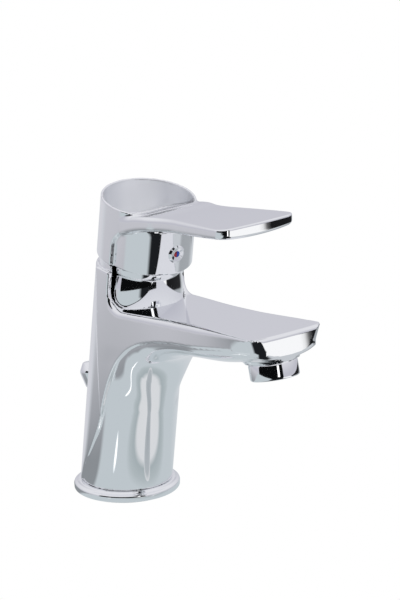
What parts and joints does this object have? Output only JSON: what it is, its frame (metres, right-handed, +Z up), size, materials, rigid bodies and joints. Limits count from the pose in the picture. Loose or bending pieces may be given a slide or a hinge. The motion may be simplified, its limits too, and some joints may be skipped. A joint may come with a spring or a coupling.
{
  "type": "bathroom mixer faucet",
  "caption": "Single-lever basin mixer with a leaning column, flat-topped spout, collared lever, ceramic cartridge, aerator and pop-up rod.",
  "frame": {"origin": "centre of the base gasket's underside, on the deck", "axes": "+Z up from the deck, +X forward along the spout, +Y to the right of a person facing the spout"},
  "size_m": [0.1679, 0.053, 0.1619],
  "materials": {
    "chrome": "polished chrome plating",
    "plug_chrome": "polished chrome-plated plastic",
    "rubber": "matte black rubber",
    "nylon": "natural nylon",
    "white_plastic": "satin moulded plastic",
    "blue_plastic": "satin moulded plastic",
    "dark_plastic": "satin moulded plastic",
    "ceramic": null,
    "brass": "turned brass",
    "steel": "plain steel",
    "hot_red": "red enamel",
    "cold_blue": "blue enamel"
  },
  "bodies": {
    "tap": {"body": "chrome", "base_ring": "chrome", "base_gasket": "rubber", "rod_bush": "nylon", "aerator_shell": "chrome", "aerator_insert": "white_plastic", "aerator_gasket": "rubber", "cartridge_base": "blue_plastic", "inlet_seals": "rubber", "fixed_disc": "ceramic", "cartridge_housing": "white_plastic", "cartridge_nut": "brass", "dome_cover": "chrome"},
    "guide": {"lever_guide": "white_plastic", "pivot_pin": "steel"},
    "disc": {"moving_disc": "ceramic", "disc_carrier": "dark_plastic"},
    "lever": {"spindle": "brass", "handle": "chrome", "set_screw": "steel", "index_plug": "plug_chrome", "hot_mark": "hot_red", "cold_mark": "cold_blue"},
    "rod": {"popup_rod": "chrome", "popup_knob": "chrome"}
  },
  "joints": [
    {"name": "temperature_turn", "type": "hinge", "parent": "tap", "child": "guide", "pos_m": [0.02063, 0, 0.12166], "axis": [0.1719, 0, 0.9851], "range_deg": [-40, 40]},
    {"name": "flow_lift", "type": "hinge", "parent": "guide", "child": "lever", "pos_m": [0.02063, 0, 0.12166], "axis": [0, -1, 0], "range_deg": [0, 12]},
    {"name": "disc_slide", "type": "slide", "parent": "guide", "child": "disc", "axis": [0.9851, 0, -0.1719], "range_m": [0, 0.0035]},
    {"name": "popup_lift", "type": "slide", "parent": "tap", "child": "rod", "axis": [-0.2079, 0, 0.9781], "range_m": [0, 0.018]}
  ],
  "couplings": [
    {"joint": "disc_slide", "follows": "flow_lift", "m_per_rad": 0.015995}
  ]
}
